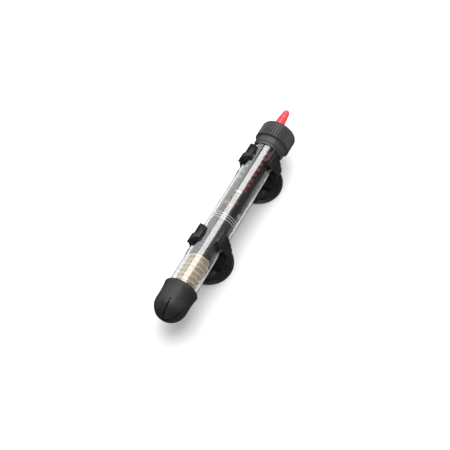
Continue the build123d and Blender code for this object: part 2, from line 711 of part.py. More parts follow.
with BuildPart() as thermostat_frame:
    with BuildSketch(lengthwise_at(-FRAME_HALF_WIDTH)):
        block(FRAME_START, FRAME_END, FRAME_TOP - FRAME_THICKNESS, FRAME_TOP)
    extrude(amount=2 * FRAME_HALF_WIDTH)
    with BuildSketch(across(END_PLATE_START + END_PLATE_THICKNESS)):
        block(KNOB_X - 1.9, KNOB_X + 2.6, FRAME_TOP - FRAME_THICKNESS, 0)
        with Locations((KNOB_X + 0.35, 0)):
            Circle(2.25)
        with Locations((KNOB_X, 0)):
            Circle(SHAFT_RADIUS + RUNNING_GAP, mode=Mode.SUBTRACT)
    extrude(amount=END_PLATE_THICKNESS)
    fillet(thermostat_frame.edges().filter_by(Axis.Z).group_by(Axis.Y)[0], 1.0)

thermostat_frame.part.label = "thermostat_frame"
export_step(thermostat_frame.part, "parts/thermostat_frame.step")

with BuildPart() as bimetal_post:
    with BuildSketch(lengthwise_at(BIMETAL_X - BIMETAL_HALF_WIDTH)):
        block(POST_START, POST_END, FRAME_TOP, BIMETAL_LEVEL - POST_GAP)
    extrude(amount=2 * BIMETAL_HALF_WIDTH)

bimetal_post.part.label = "bimetal_post"
export_step(bimetal_post.part, "parts/bimetal_post.step")

RIVET_RADIUS = 0.6
RIVET_HEAD = 1.1
BLADE_TOP = BIMETAL_LEVEL + BIMETAL_THICKNESS


def level(rise):
    """Horizontal plane at a height above or below the heater's axis."""
    return Plane.XY.offset(AXIS_HEIGHT + rise)


with BuildPart() as bimetal_blade:
    with BuildSketch(level(BIMETAL_LEVEL)):
        with Locations((BIMETAL_X, (BIMETAL_START + BIMETAL_END) / 2 - HALF)):
            RectangleRounded(2 * BIMETAL_HALF_WIDTH, BIMETAL_END - BIMETAL_START, 0.6)
        with Locations((BIMETAL_X, BIMETAL_PIVOT - HALF)):
            Circle(RIVET_RADIUS + 0.1, mode=Mode.SUBTRACT)
    extrude(amount=BIMETAL_THICKNESS)

bimetal_blade.part.label = "bimetal_blade"
export_step(bimetal_blade.part, "parts/bimetal_blade.step")

with BuildPart() as blade_rivet:
    with BuildSketch(level(BIMETAL_LEVEL - POST_GAP)):
        with Locations((BIMETAL_X, BIMETAL_PIVOT - HALF)):
            Circle(RIVET_RADIUS)
    extrude(amount=BIMETAL_THICKNESS + 2 * POST_GAP)
    with BuildSketch(level(BLADE_TOP + POST_GAP)):
        with Locations((BIMETAL_X, BIMETAL_PIVOT - HALF)):
            Circle(RIVET_HEAD)
    extrude(amount=0.5)
    fillet(blade_rivet.edges().group_by(Axis.Z)[-1], 0.25)

blade_rivet.part.label = "blade_rivet"
export_step(blade_rivet.part, "parts/blade_rivet.step")

CONTACT_GAP = 0.05
FIXED_CONTACT_HEIGHT = 0.5
MOVING_CONTACT_BOTTOM = BRACKET_TOP + FIXED_CONTACT_HEIGHT + CONTACT_GAP

with BuildPart() as moving_contact:
    with BuildSketch(level(MOVING_CONTACT_BOTTOM)):
        with Locations((BIMETAL_X, CONTACT_STATION - HALF)):
            Circle(CONTACT_RADIUS)
    extrude(amount=BIMETAL_LEVEL - MOVING_CONTACT_BOTTOM)

moving_contact.part.label = "moving_contact"
export_step(moving_contact.part, "parts/moving_contact.step")

with BuildPart() as fixed_contact:
    with BuildSketch(level(BRACKET_TOP)):
        with Locations((BIMETAL_X, CONTACT_STATION - HALF)):
            Circle(CONTACT_RADIUS)
    extrude(amount=FIXED_CONTACT_HEIGHT)

fixed_contact.part.label = "fixed_contact"
export_step(fixed_contact.part, "parts/fixed_contact.step")

BRACKET_BOTTOM = BRACKET_TOP - BRACKET_THICKNESS
BLADE_LEFT = BIMETAL_X - BIMETAL_HALF_WIDTH

with BuildPart() as contact_bracket:
    with BuildSketch(level(BRACKET_BOTTOM)):
        block(BLADE_LEFT, BLADE_LEFT + 4.0, BRACKET_START - HALF, BRACKET_END - HALF)
        block(BLADE_LEFT, TAB_X + TAB_REACH, BRACKET_START - HALF, BRACKET_START + 5.5 - HALF)
    extrude(amount=BRACKET_THICKNESS)

contact_bracket.part.label = "contact_bracket"
export_step(contact_bracket.part, "parts/contact_bracket.step")

with BuildPart() as bracket_spacer:
    with BuildSketch(level(FRAME_TOP)):
        block(BLADE_LEFT, BLADE_LEFT + 4.0, BRACKET_START - HALF, BRACKET_START + SPACER_LENGTH - HALF)
    extrude(amount=BRACKET_BOTTOM - FRAME_TOP)

bracket_spacer.part.label = "bracket_spacer"
export_step(bracket_spacer.part, "parts/bracket_spacer.step")

MAGNET_START = BRACKET_END + 1.0
MAGNET_LENGTH = 3.5
MAGNET_HEIGHT = 1.9

with BuildPart() as magnet:
    with BuildSketch(level(FRAME_TOP)):
        block(BLADE_LEFT, BLADE_LEFT + 4.0, MAGNET_START - HALF, MAGNET_START + MAGNET_LENGTH - HALF)
    extrude(amount=MAGNET_HEIGHT)
    chamfer(magnet.edges().group_by(Axis.Z)[-1], 0.2)

magnet.part.label = "magnet"
export_step(magnet.part, "parts/magnet.step")

LAMP_START = 140.5
LAMP_END = 149.5
LAMP_RADIUS = 1.6
LAMP_X = 2.5

with BuildPart() as pilot_lamp:
    with BuildSketch(lengthwise_at(LAMP_X, FRAME_TOP + LAMP_RADIUS + 0.1)):
        with BuildLine():
            Line((LAMP_START, 0), (LAMP_START, LAMP_RADIUS))
            Line((LAMP_START, LAMP_RADIUS), (LAMP_END - LAMP_RADIUS, LAMP_RADIUS))
            RadiusArc((LAMP_END - LAMP_RADIUS, LAMP_RADIUS), (LAMP_END, 0), LAMP_RADIUS)
            Line((LAMP_END, 0), (LAMP_START, 0))
        make_face()
    revolve(axis=axis_at(LAMP_X, FRAME_TOP + LAMP_RADIUS + 0.1))

pilot_lamp.part.label = "pilot_lamp"
export_step(pilot_lamp.part, "parts/pilot_lamp.step")

RESISTOR_START = 140.5
RESISTOR_LENGTH = 6.5
RESISTOR_RADIUS = 0.9
RESISTOR_X = -2.6

with BuildPart() as lamp_resistor:
    with BuildSketch(lengthwise_at(RESISTOR_X, FRAME_TOP + RESISTOR_RADIUS + 0.05)):
        band(RESISTOR_START, RESISTOR_START + RESISTOR_LENGTH, 0, RESISTOR_RADIUS * 0.8)
        band(RESISTOR_START, RESISTOR_START + 1.5, 0, RESISTOR_RADIUS)
        band(RESISTOR_START + RESISTOR_LENGTH - 1.5, RESISTOR_START + RESISTOR_LENGTH, 0, RESISTOR_RADIUS)
    revolve(axis=axis_at(RESISTOR_X, FRAME_TOP + RESISTOR_RADIUS + 0.05))

lamp_resistor.part.label = "lamp_resistor"
export_step(lamp_resistor.part, "parts/lamp_resistor.step")

# ---- suction cup holders that snap onto the glass ---------------------------------------------
CLIP_BORE = GLASS_RADIUS + FIT_GAP
BASE_FOOT = CLIP_BASE_LEVEL - AXIS_HEIGHT
BASE_TOP = BASE_FOOT + CLIP_BASE_THICKNESS
HEAD_POCKET_RADIUS = CUP_HEAD_RADIUS + 0.4
NECK_CLEARANCE = 0.08
BACK_CORNER = 7.0
FRONT_CORNER = 2.5
TIP_X = CLIP_TIP_RADIUS * sin(radians(CLIP_OPENING))
TIP_RISE = CLIP_TIP_RADIUS * cos(radians(CLIP_OPENING))
WIDEST_RISE = -6.5
TIP_GROOVE_ANGLE = 38.0
TIP_GROOVE_CIRCLE = CLIP_TIP_RADIUS + 0.9
TIP_GROOVE_RADIUS = 0.45
SHOULDER_STEP = 0.9
SHOULDER_START = 1.0
SHOULDER_ARC = 110

# outlines of the two arms seen from the side, as (distance past the cup's centre, rise over
# the axis): the right arm leans forward to a long lip, the left arm has a wide tab
RIGHT_ARM = (
    (CLIP_BASE_FRONT, -12.0),
    (7.2, -8.0),
    (7.0, 6.0),
    (9.1, 9.4),
    (11.8, 11.4),
    (11.8, CUP_RADIUS),
    (0.2, CUP_RADIUS),
    (0.2, 10.8),
    (-2.3, 8.6),
    (-1.6, 3.0),
    (0.6, -2.0),
    (0.2, -7.0),
    (-2.4, -12.0),
)
LEFT_ARM = (
    (CLIP_BASE_FRONT, -9.0),
    (7.5, -3.0),
    (11.3, 1.5),
    (11.8, 4.0),
    (10.2, 7.6),
    (8.0, 9.9),
    (4.0, 11.3),
    (4.0, CUP_RADIUS),
    (-2.5, CUP_RADIUS),
    (-2.5, 11.0),
    (-4.6, 8.0),
    (-5.9, 4.6),
    (-5.3, 1.8),
    (-1.6, -2.0),
    (-1.8, -9.0),
)
BASE_OUTLINE = (
    (-CLIP_BASE_BACK, BASE_TOP),
    (-CLIP_BASE_BACK, BASE_FOOT),
    (CLIP_BASE_FRONT, BASE_FOOT),
)
ARM_EDGE_RADIUS = 1.5
ARM_ROUND_FROM = -4.0
ARM_ROUND_TO = 11.5
LOBE_ANGLE = 29.0
LOBE_PEAK = (CLIP_LOBE_RADIUS * cos(radians(LOBE_ANGLE)), CLIP_LOBE_RADIUS * sin(radians(LOBE_ANGLE)))
TIP_OUTER = (TIP_X + 0.9, TIP_RISE + 0.3)
TIP_NOSE = (TIP_X - 0.35, TIP_RISE - 0.35)
TIP_INNER = (TIP_X - 0.6, TIP_RISE - 1.3)

for clip_name, clip_centre in CLIP_CENTRES.items():
    clip_front = clip_centre + CLIP_FRONT
    clip_back = clip_centre - CLIP_BACK
    with BuildPart() as arm_reach:
        for plane, outline in ((LENGTHWISE, RIGHT_ARM), (lengthwise_at(-CUP_RADIUS), LEFT_ARM)):
            with BuildSketch(plane):
                corners = [(clip_centre + ahead, rise) for ahead, rise in outline + BASE_OUTLINE]
                with BuildLine():
                    Polyline(*corners, close=True)
                side = make_face()
                rounded = side.vertices().filter_by_position(Axis.Y, ARM_ROUND_FROM, ARM_ROUND_TO)
                fillet(rounded, ARM_EDGE_RADIUS)
            extrude(amount=CUP_RADIUS)
    with BuildPart() as clip:
        with BuildSketch(across(clip_front)):
            with BuildLine():
                Line((0, BASE_FOOT), (CLIP_HALF_WIDTH, BASE_FOOT))
                Line((CLIP_HALF_WIDTH, BASE_FOOT), (CLIP_HALF_WIDTH, BASE_TOP))
                ThreePointArc(
                    (CLIP_HALF_WIDTH, BASE_TOP),
                    (CLIP_ARM_REACH, WIDEST_RISE),
                    (CLIP_ARM_RADIUS, 0),
                )
                ThreePointArc((CLIP_ARM_RADIUS, 0), LOBE_PEAK, TIP_OUTER)
                ThreePointArc(TIP_OUTER, TIP_NOSE, TIP_INNER)
                Line(TIP_INNER, (0, 0))
                Line((0, 0), (0, BASE_FOOT))
            make_face()
            mirror(about=Plane.YZ)
            Circle(CLIP_BORE, mode=Mode.SUBTRACT)
            with PolarLocations(TIP_GROOVE_CIRCLE, 1, 90 - TIP_GROOVE_ANGLE):
                Circle(TIP_GROOVE_RADIUS, mode=Mode.SUBTRACT)
        extrude(amount=clip_front - clip_back)
        add(arm_reach.part, mode=Mode.INTERSECT)
        with BuildSketch(Plane.XY):
            with Locations((0, (clip_front + clip_back) / 2 - HALF)):
                plan = Rectangle(2 * CLIP_ARM_REACH, clip_front - clip_back)
            fillet(plan.vertices().group_by(Axis.Y)[0], BACK_CORNER)
            fillet(plan.vertices().group_by(Axis.Y)[-1], FRONT_CORNER)
        extrude(amount=2 * AXIS_HEIGHT, mode=Mode.INTERSECT)
        with BuildSketch(Plane.XY.offset(CLIP_BASE_LEVEL)):
            with Locations((0, clip_centre - HALF)):
                Circle(NECK_RADIUS + NECK_CLEARANCE)
        extrude(amount=AXIS_HEIGHT - CLIP_BASE_LEVEL, mode=Mode.SUBTRACT)
        with BuildSketch(level(BASE_TOP)):
            with Locations((0, clip_centre - HALF)):
                Circle(HEAD_POCKET_RADIUS)
        extrude(amount=-BASE_TOP, mode=Mode.SUBTRACT)
        with BuildSketch(LENGTHWISE):
            band(clip_centre + SHOULDER_START, clip_front + 1, CLIP_LOBE_RADIUS - SHOULDER_STEP, CUP_RADIUS)
        revolve(axis=HEATER_AXIS, revolution_arc=-SHOULDER_ARC, mode=Mode.SUBTRACT)
    clip.part.label = clip_name
    export_step(clip.part, f"parts/{clip_name}.step")

# ---- suction cups -----------------------------------------------------------------------------
SHOULDER = CLIP_BASE_LEVEL - 0.3
SHOULDER_RADIUS = 8.2
NECK_TOP = AXIS_HEIGHT + BASE_TOP + FIT_GAP
HEAD_TOP = NECK_TOP + 2.4
HEAD_CROWN_RADIUS = CUP_HEAD_RADIUS - 2.0
RIM_INNER = CUP_RADIUS - 1.6
RIM_EDGE = 0.3
LIP_FOOT = (CUP_RADIUS - 1.9, 1.7)
LIP_GROOVE = (CUP_RADIUS - 2.2, 1.5)
CROWN_FOOT = (CUP_RADIUS - 2.9, 2.3)
CROWN_MIDDLE = (12.2, 3.9)
CROWN_TOP = (9.2, 4.7)
HOLLOW_HEIGHT = 3.0
HOLLOW_MIDDLE = (9.5, 2.2)

for cup_name, cup_centre in CUP_CENTRES.items():
    cup_y = cup_centre - HALF
    with BuildPart() as cup:
        with BuildSketch(Plane(origin=(0, cup_y, 0), x_dir=(1, 0, 0), z_dir=(0, -1, 0))):
            with BuildLine():
                Line((RIM_INNER, 0), (CUP_RADIUS - RIM_EDGE, 0))
                Line((CUP_RADIUS - RIM_EDGE, 0), (CUP_RADIUS, RIM_EDGE))
                Line((CUP_RADIUS, RIM_EDGE), (CUP_RADIUS, 3 * RIM_EDGE))
                Line((CUP_RADIUS, 3 * RIM_EDGE), LIP_FOOT)
                Line(LIP_FOOT, LIP_GROOVE)
                Line(LIP_GROOVE, CROWN_FOOT)
                ThreePointArc(CROWN_FOOT, CROWN_MIDDLE, CROWN_TOP)
                Line(CROWN_TOP, (SHOULDER_RADIUS, SHOULDER))
                Line((SHOULDER_RADIUS, SHOULDER), (NECK_RADIUS, SHOULDER))
                Line((NECK_RADIUS, SHOULDER), (NECK_RADIUS, NECK_TOP))
                Line((NECK_RADIUS, NECK_TOP), (CUP_HEAD_RADIUS, NECK_TOP))
                Line((CUP_HEAD_RADIUS, NECK_TOP), (CUP_HEAD_RADIUS, NECK_TOP + 1.0))
                ThreePointArc(
                    (CUP_HEAD_RADIUS, NECK_TOP + 1.0),
                    (CUP_HEAD_RADIUS - 0.7, HEAD_TOP - 0.5),
                    (HEAD_CROWN_RADIUS, HEAD_TOP),
                )
                Line((HEAD_CROWN_RADIUS, HEAD_TOP), (0, HEAD_TOP))
                Line((0, HEAD_TOP), (0, HOLLOW_HEIGHT))
                ThreePointArc((0, HOLLOW_HEIGHT), HOLLOW_MIDDLE, (RIM_INNER, 0))
            make_face()
        revolve(axis=Axis((0, cup_y, 0), (0, 0, 1)))
    cup.part.label = cup_name
    export_step(cup.part, f"parts/{cup_name}.step")
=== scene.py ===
import math

import bmesh
import bpy
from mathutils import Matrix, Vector


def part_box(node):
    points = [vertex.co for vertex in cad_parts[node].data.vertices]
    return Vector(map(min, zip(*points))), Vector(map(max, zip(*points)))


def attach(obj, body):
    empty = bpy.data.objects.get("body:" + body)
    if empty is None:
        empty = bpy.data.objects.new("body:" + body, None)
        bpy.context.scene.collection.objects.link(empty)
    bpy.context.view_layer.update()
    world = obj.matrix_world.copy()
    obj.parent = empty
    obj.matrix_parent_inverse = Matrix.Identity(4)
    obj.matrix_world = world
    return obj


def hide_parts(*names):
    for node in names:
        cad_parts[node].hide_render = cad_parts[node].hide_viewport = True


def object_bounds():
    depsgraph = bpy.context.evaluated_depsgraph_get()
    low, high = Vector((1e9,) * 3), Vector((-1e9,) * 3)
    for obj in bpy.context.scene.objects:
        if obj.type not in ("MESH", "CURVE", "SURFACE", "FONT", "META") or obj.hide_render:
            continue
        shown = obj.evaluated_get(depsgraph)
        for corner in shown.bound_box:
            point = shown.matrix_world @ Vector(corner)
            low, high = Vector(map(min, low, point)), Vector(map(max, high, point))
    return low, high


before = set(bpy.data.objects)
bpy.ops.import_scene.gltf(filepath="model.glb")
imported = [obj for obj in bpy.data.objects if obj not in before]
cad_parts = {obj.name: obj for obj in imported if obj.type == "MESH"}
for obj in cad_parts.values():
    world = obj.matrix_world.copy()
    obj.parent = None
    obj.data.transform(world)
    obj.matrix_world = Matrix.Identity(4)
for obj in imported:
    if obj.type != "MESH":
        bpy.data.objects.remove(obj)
cad_low, cad_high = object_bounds()

MM = 0.001
tube_low, tube_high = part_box("glass_tube")
AXIS_Z = (tube_low.z + tube_high.z) / 2
GLASS_RADIUS = (tube_high.x - tube_low.x) / 2
BOTTOM_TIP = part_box("bottom_guard")[0].y


def station(mm):
    """Y of a point mm millimetres up from the heater's bottom tip."""
    return BOTTOM_TIP + mm * MM


# ---- camera -------------------------------------------------------------------------------
AZIMUTH, ELEVATION = math.radians(28.52), math.radians(60.5)
DISTANCE = 1.0
LENS, SENSOR = 111.2, 36
AIM = Vector((0.0008, -0.0088, 0.0198))
TOWARDS_CAMERA = Vector(
    (
        math.sin(AZIMUTH) * math.cos(ELEVATION),
        -math.cos(AZIMUTH) * math.cos(ELEVATION),
        math.sin(ELEVATION),
    )
)
camera = bpy.data.objects.new("camera", bpy.data.cameras.new("camera"))
bpy.context.scene.collection.objects.link(camera)
camera.location = AIM + DISTANCE * TOWARDS_CAMERA
camera.rotation_mode = "QUATERNION"
camera.rotation_quaternion = (-TOWARDS_CAMERA).to_track_quat("-Z", "Y")
camera.data.sensor_width = SENSOR
camera.data.lens = LENS
camera.data.clip_start = 0.05
camera.data.clip_end = 20
bpy.context.scene.camera = camera
bpy.context.scene.view_settings.view_transform = "Standard"
bpy.context.scene.view_settings.look = "None"


# ---- materials ----------------------------------------------------------------------------
class Shader:
    """A node material round one Principled shader, with short names for the nodes used here."""

    # sockets of a Mix node that blends colours, whose names aren't unique
    MIX_FACTOR, MIX_A, MIX_B = 0, 6, 7
    MIX_RESULT = 2

    def __init__(self, name, colour, roughness, **sockets):
        self.material = bpy.data.materials.new(name)
        self.material.use_nodes = True
        self.tree = self.material.node_tree
        self.bsdf = self.tree.nodes["Principled BSDF"]
        self.bsdf.inputs["Base Color"].default_value = (*colour, 1)
        self.bsdf.inputs["Roughness"].default_value = roughness
        for socket, value in sockets.items():
            self.bsdf.inputs[socket.replace("_", " ")].default_value = value
        self.place = self.tree.nodes.new("ShaderNodeTexCoord").outputs["Object"]

    def node(self, kind, inputs=(), **settings):
        made = self.tree.nodes.new(kind)
        for key, value in settings.items():
            setattr(made, key, value)
        for key, value in dict(inputs).items():
            if isinstance(value, bpy.types.NodeSocket):
                self.tree.links.new(value, made.inputs[key])
            else:
                made.inputs[key].default_value = value
        return made

    def grain(self, size_mm, detail=3.0, stretch=None):
        """Noise whose blobs are about size_mm across."""
        place = self.place
        if stretch:
            place = self.node("ShaderNodeMapping", {"Vector": place, "Scale": stretch}).outputs[0]
        inputs = {"Vector": place, "Scale": 1 / (size_mm * MM), "Detail": detail}
        return self.node("ShaderNodeTexNoise", inputs).outputs["Fac"]

    def ramp(self, factor, *stops):
        """Colour ramp from (place, colour) pairs."""
        made = self.node("ShaderNodeValToRGB", {"Fac": factor})
        while len(made.color_ramp.elements) < len(stops):
            made.color_ramp.elements.new(0.5)
        for element, (position, colour) in zip(made.color_ramp.elements, stops):
            element.position = position
            element.color = (*colour, 1)
        return made.outputs["Color"]

    def span(self, factor, low, high, start=0.3, end=0.7):
        """Maps a factor's start and end onto low and high."""
        inputs = {"Value": factor, "From Min": start, "From Max": end, "To Min": low, "To Max": high}
        return self.node("ShaderNodeMapRange", inputs).outputs["Result"]

    def math(self, operation, a, b=0.0):
        return self.node("ShaderNodeMath", {0: a, 1: b}, operation=operation).outputs[0]

    def mix(self, factor, a, b):
        """Blends two colours, each a socket or a tuple, by a factor socket."""
        made = self.node("ShaderNodeMix", {self.MIX_FACTOR: factor}, data_type="RGBA")
        for socket, value in ((self.MIX_A, a), (self.MIX_B, b)):
            if isinstance(value, bpy.types.NodeSocket):
                self.tree.links.new(value, made.inputs[socket])
            else:
                made.inputs[socket].default_value = (*value, 1)
        return made.outputs[self.MIX_RESULT]

    def colour(self, source):
        self.tree.links.new(source, self.bsdf.inputs["Base Color"])

    def roughness(self, source):
        self.tree.links.new(source, self.bsdf.inputs["Roughness"])

    def bump(self, height, depth_mm):
        """Bump of depth_mm from a height of 0 to 1."""
        inputs = {"Height": height, "Distance": depth_mm * MM, "Strength": 1.0}
        made = self.node("ShaderNodeBump", inputs).outputs["Normal"]
        self.tree.links.new(made, self.bsdf.inputs["Normal"])


def moulded(name, dark, light, roughness, gloss_spread, grain_mm=0.35, depth_mm=0.02, **sockets):
    """Moulded rubber or plastic: cloudy colour, fine grain and uneven gloss."""
    made = Shader(name, dark, roughness, **sockets)
    clouds = made.grain(9, 4)
    speckle = made.grain(grain_mm, 2)
    blend = made.math("ADD", made.math("MULTIPLY", clouds, 0.6), made.math("MULTIPLY", speckle, 0.4))
    made.colour(made.ramp(blend, (0.35, dark), (0.65, light)))
    made.roughness(made.span(clouds, roughness - gloss_spread, roughness + gloss_spread))
    made.bump(speckle, depth_mm)
    return made.material


def metal(name, dark, light, roughness):
    """Drawn or rolled metal with fine streaks along the heater."""
    made = Shader(name, dark, roughness, Metallic=1.0)
    streaks = made.grain(0.25, 3, (1, 0.08, 1))
    made.colour(made.ramp(streaks, (0.3, dark), (0.7, light)))
    made.roughness(made.span(streaks, roughness - 0.08, roughness + 0.1))
    made.bump(streaks, 0.01)
    return made.material


# a face of the tube that lies within this of its outer radius is its outer face
OUTER_SKIN = 0.5 * MM


def clear_glass():
    """Clear glass, glossier on its outer face than on its bore, with faint smears."""
    made = Shader(
        "clear_glass",
        (0.985, 0.995, 0.99),
        0.0,
        Transmission_Weight=1.0,
        IOR=1.47,
        Coat_Roughness=0.01,
        Coat_IOR=2.2,
    )
    vector_math = "ShaderNodeVectorMath"
    from_axis = made.node(vector_math, {0: made.place, 1: (0, 0, AXIS_Z)}, operation="SUBTRACT")
    across = made.node(vector_math, {0: from_axis.outputs[0], 1: (1, 0, 1)}, operation="MULTIPLY")
    radius = made.node(vector_math, {0: across.outputs[0]}, operation="LENGTH").outputs["Value"]
    outside = made.math("GREATER_THAN", radius, GLASS_RADIUS - OUTER_SKIN)
    made.tree.links.new(outside, made.bsdf.inputs["Coat Weight"])
    smears = made.grain(14, 3, (1, 0.5, 1))
    made.roughness(made.span(smears, 0.0, 0.02, 0.5, 0.8))
    made.bump(made.grain(30, 1), 0.003)
    return made.material


def cream_sleeving():
    """Braided glass-fibre sleeve on the heating wire."""
    made = Shader("cream_sleeving", (0.87, 0.76, 0.55), 0.75, Sheen_Weight=0.25)
    strands = made.node(
        "ShaderNodeTexWave",
        {"Vector": made.place, "Scale": 900.0, "Distortion": 2.0, "Detail": 2.0, "Detail Scale": 2.0},
        bands_direction="DIAGONAL",
    ).outputs["Fac"]
    tone = made.grain(3, 3)
    woven = made.mix(strands, (0.86, 0.74, 0.54), (0.96, 0.90, 0.76))
    made.colour(made.mix(made.span(tone, 0.0, 0.6), woven, (0.90, 0.74, 0.50)))
    made.roughness(made.span(strands, 0.65, 0.85, 0, 1))
    made.bump(strands, 0.06)
    return made.material


def core_ceramic():
    """Fired former with a little scorching."""
    made = Shader("core_ceramic", (0.42, 0.36, 0.29), 0.8)
    blotch = made.grain(2.5, 4)
    pores = made.grain(0.3, 2)
    scorched, fired, clean = (0.42, 0.34, 0.27), (0.72, 0.65, 0.56), (0.86, 0.81, 0.73)
    made.colour(made.ramp(blotch, (0.3, scorched), (0.5, fired), (0.7, clean)))
    made.roughness(made.span(pores, 0.7, 0.95))
    made.bump(pores, 0.03)
    return made.material


def translucent_red():
    """Slightly see-through red plastic with flow lines along its length."""
    made = Shader(
        "translucent_red",
        (0.86, 0.055, 0.075),
        0.28,
        Subsurface_Weight=0.45,
        Subsurface_Scale=0.003,
        Transmission_Weight=0.12,
        Coat_Weight=0.3,
        IOR=1.49,
    )
    made.bsdf.inputs["Subsurface Radius"].default_value = (1.0, 0.25, 0.25)
    flow = made.grain(2.5, 3, (1, 0.3, 1))
    made.colour(made.ramp(flow, (0.3, (0.80, 0.035, 0.055)), (0.7, (0.93, 0.11, 0.13))))
    made.roughness(made.span(flow, 0.2, 0.36))
    made.bump(made.grain(0.5, 2), 0.01)
    return made.material


def printed(name, ink, worn):
    """Printing ink, thinner in small patches."""
    made = Shader(name, ink, 0.55)
    patches = made.grain(0.5, 3)
    made.colour(made.ramp(patches, (0.35, worn), (0.6, ink)))
    made.roughness(made.span(patches, 0.45, 0.65))
    made.bump(patches, 0.004)
    return made.material


def lamp_glass():
    """Faintly orange glass of the neon lamp."""
    made = Shader("lamp_glass", (0.95, 0.80, 0.62), 0.02, Transmission_Weight=0.9, IOR=1.5)
    made.roughness(made.span(made.grain(1.5, 2), 0.0, 0.06))
    made.bump(made.grain(3, 1), 0.02)
    return made.material


CLEAR_GLASS = clear_glass()
LAMP_GLASS = lamp_glass()
RUBBER = moulded("satin_rubber", (0.016, 0.016, 0.017), (0.028, 0.028, 0.029), 0.50, 0.06)
CAP_PLASTIC = moulded("cap_plastic", (0.030, 0.030, 0.031), (0.062, 0.062, 0.063), 0.45, 0.08, 0.4, 0.05)
CLIP_PLASTIC = moulded("clip_plastic", (0.010, 0.010, 0.011), (0.020, 0.020, 0.021), 0.25, 0.05, 0.6, 0.004)
CUP_RUBBER = moulded("cup_rubber", (0.010, 0.010, 0.010), (0.020, 0.020, 0.020), 0.28, 0.06, 0.8, 0.004)
HOLDER_PLASTIC = moulded(
    "holder_plastic", (0.035, 0.035, 0.037), (0.060, 0.060, 0.062), 0.50, 0.08, 0.5, 0.03
)
SLEEVE_PLASTIC = moulded(
    "sleeve_plastic", (0.009, 0.009, 0.010), (0.015, 0.015, 0.016), 0.38, 0.06, 0.5, 0.01
)
INSULATOR = moulded("insulator_board", (0.40, 0.35, 0.24), (0.52, 0.46, 0.33), 0.65, 0.08, 0.3, 0.03)
DARK_MICA = moulded("dark_mica", (0.035, 0.030, 0.026), (0.085, 0.072, 0.060), 0.45, 0.10, 0.6, 0.02)
WHITE_PLASTIC = moulded("white_plastic", (0.58, 0.58, 0.57), (0.70, 0.70, 0.68), 0.40, 0.06, 0.5, 0.01)
WIRE_SHEATH = moulded("wire_sheath", (0.030, 0.030, 0.032), (0.060, 0.060, 0.062), 0.45, 0.06, 0.5, 0.01)
RESISTOR = moulded("resistor_body", (0.30, 0.36, 0.42), (0.40, 0.47, 0.54), 0.35, 0.06, 0.4, 0.01)
MAGNET = moulded(
    "magnet_iron", (0.045, 0.043, 0.040), (0.10, 0.095, 0.09), 0.50, 0.10, 0.3, 0.03, Metallic=0.6
)
STEEL = metal("brushed_steel", (0.50, 0.50, 0.52), (0.72, 0.72, 0.73), 0.30)
BIMETAL = metal("bimetal_strip", (0.55, 0.45, 0.30), (0.74, 0.66, 0.50), 0.32)
CONTACT = metal("contact_silver", (0.72, 0.71, 0.69), (0.88, 0.87, 0.85), 0.25)
COPPER = metal("varnished_copper", (0.45, 0.17, 0.06), (0.70, 0.30, 0.12), 0.35)
NICHROME = moulded("resistance_wire", (0.52, 0.33, 0.20), (0.86, 0.70, 0.52), 0.42, 0.08, 0.3, 0.01)
CREAM = cream_sleeving()
CERAMIC = core_ceramic()
RED_KNOB = translucent_red()
RED_INK = printed("red_ink", (0.72, 0.02, 0.03), (0.50, 0.015, 0.02))
WHITE_INK = printed("white_ink", (0.86, 0.86, 0.84), (0.62, 0.62, 0.60))
PINK_INK = printed("pink_ink", (0.60, 0.17, 0.17), (0.34, 0.12, 0.12))
GREY_INK = printed("grey_ink", (0.36, 0.36, 0.36), (0.24, 0.24, 0.24))

SLOT_LOOK = {
    "clear_glass": CLEAR_GLASS,
    "black_rubber": RUBBER,
    "black_cap": CAP_PLASTIC,
    "red_knob": RED_KNOB,
    "steel": STEEL,
    "white_pointer": WHITE_PLASTIC,
    "scale_print": SLEEVE_PLASTIC,
    "dark_holder": HOLDER_PLASTIC,
    "core_ceramic": CERAMIC,
    "coil_sleeving": CREAM,
    "insulator": INSULATOR,
    "lead_copper": COPPER,
    "wire_sheath": WIRE_SHEATH,
    "bimetal": BIMETAL,
    "contact_metal": CONTACT,
    "magnet_iron": MAGNET,
    "lamp_glass": LAMP_GLASS,
    "resistor_body": RESISTOR,
    "black_clip": CLIP_PLASTIC,
    "black_cup": CUP_RUBBER,
}
# nodes that look unlike the rest of their slot
NODE_LOOK = {"upper_disc": DARK_MICA, "lower_disc": DARK_MICA}

for node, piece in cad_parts.items():
    for held in piece.material_slots:
        held.material = NODE_LOOK.get(node) or SLOT_LOOK[held.material.name.split(".")[0]]


# ---- mesh helpers -------------------------------------------------------------------------
def piece_from(mesh, name, material, body, smooth=True):
    """Makes a mesh a piece that rides on a body, with its material and slot."""
    made = bpy.data.objects.new(name, mesh)
    bpy.context.scene.collection.objects.link(made)
    mesh.materials.clear()
    mesh.materials.append(material)
    for polygon in mesh.polygons:
        polygon.use_smooth = smooth
    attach(made, body)
    return made


def on_tube(angle, radius, y):
    """Point at a radius from the heater's axis, at an angle from straight up toward +X."""
    return Vector((radius * math.sin(angle), y, AXIS_Z + radius * math.cos(angle)))


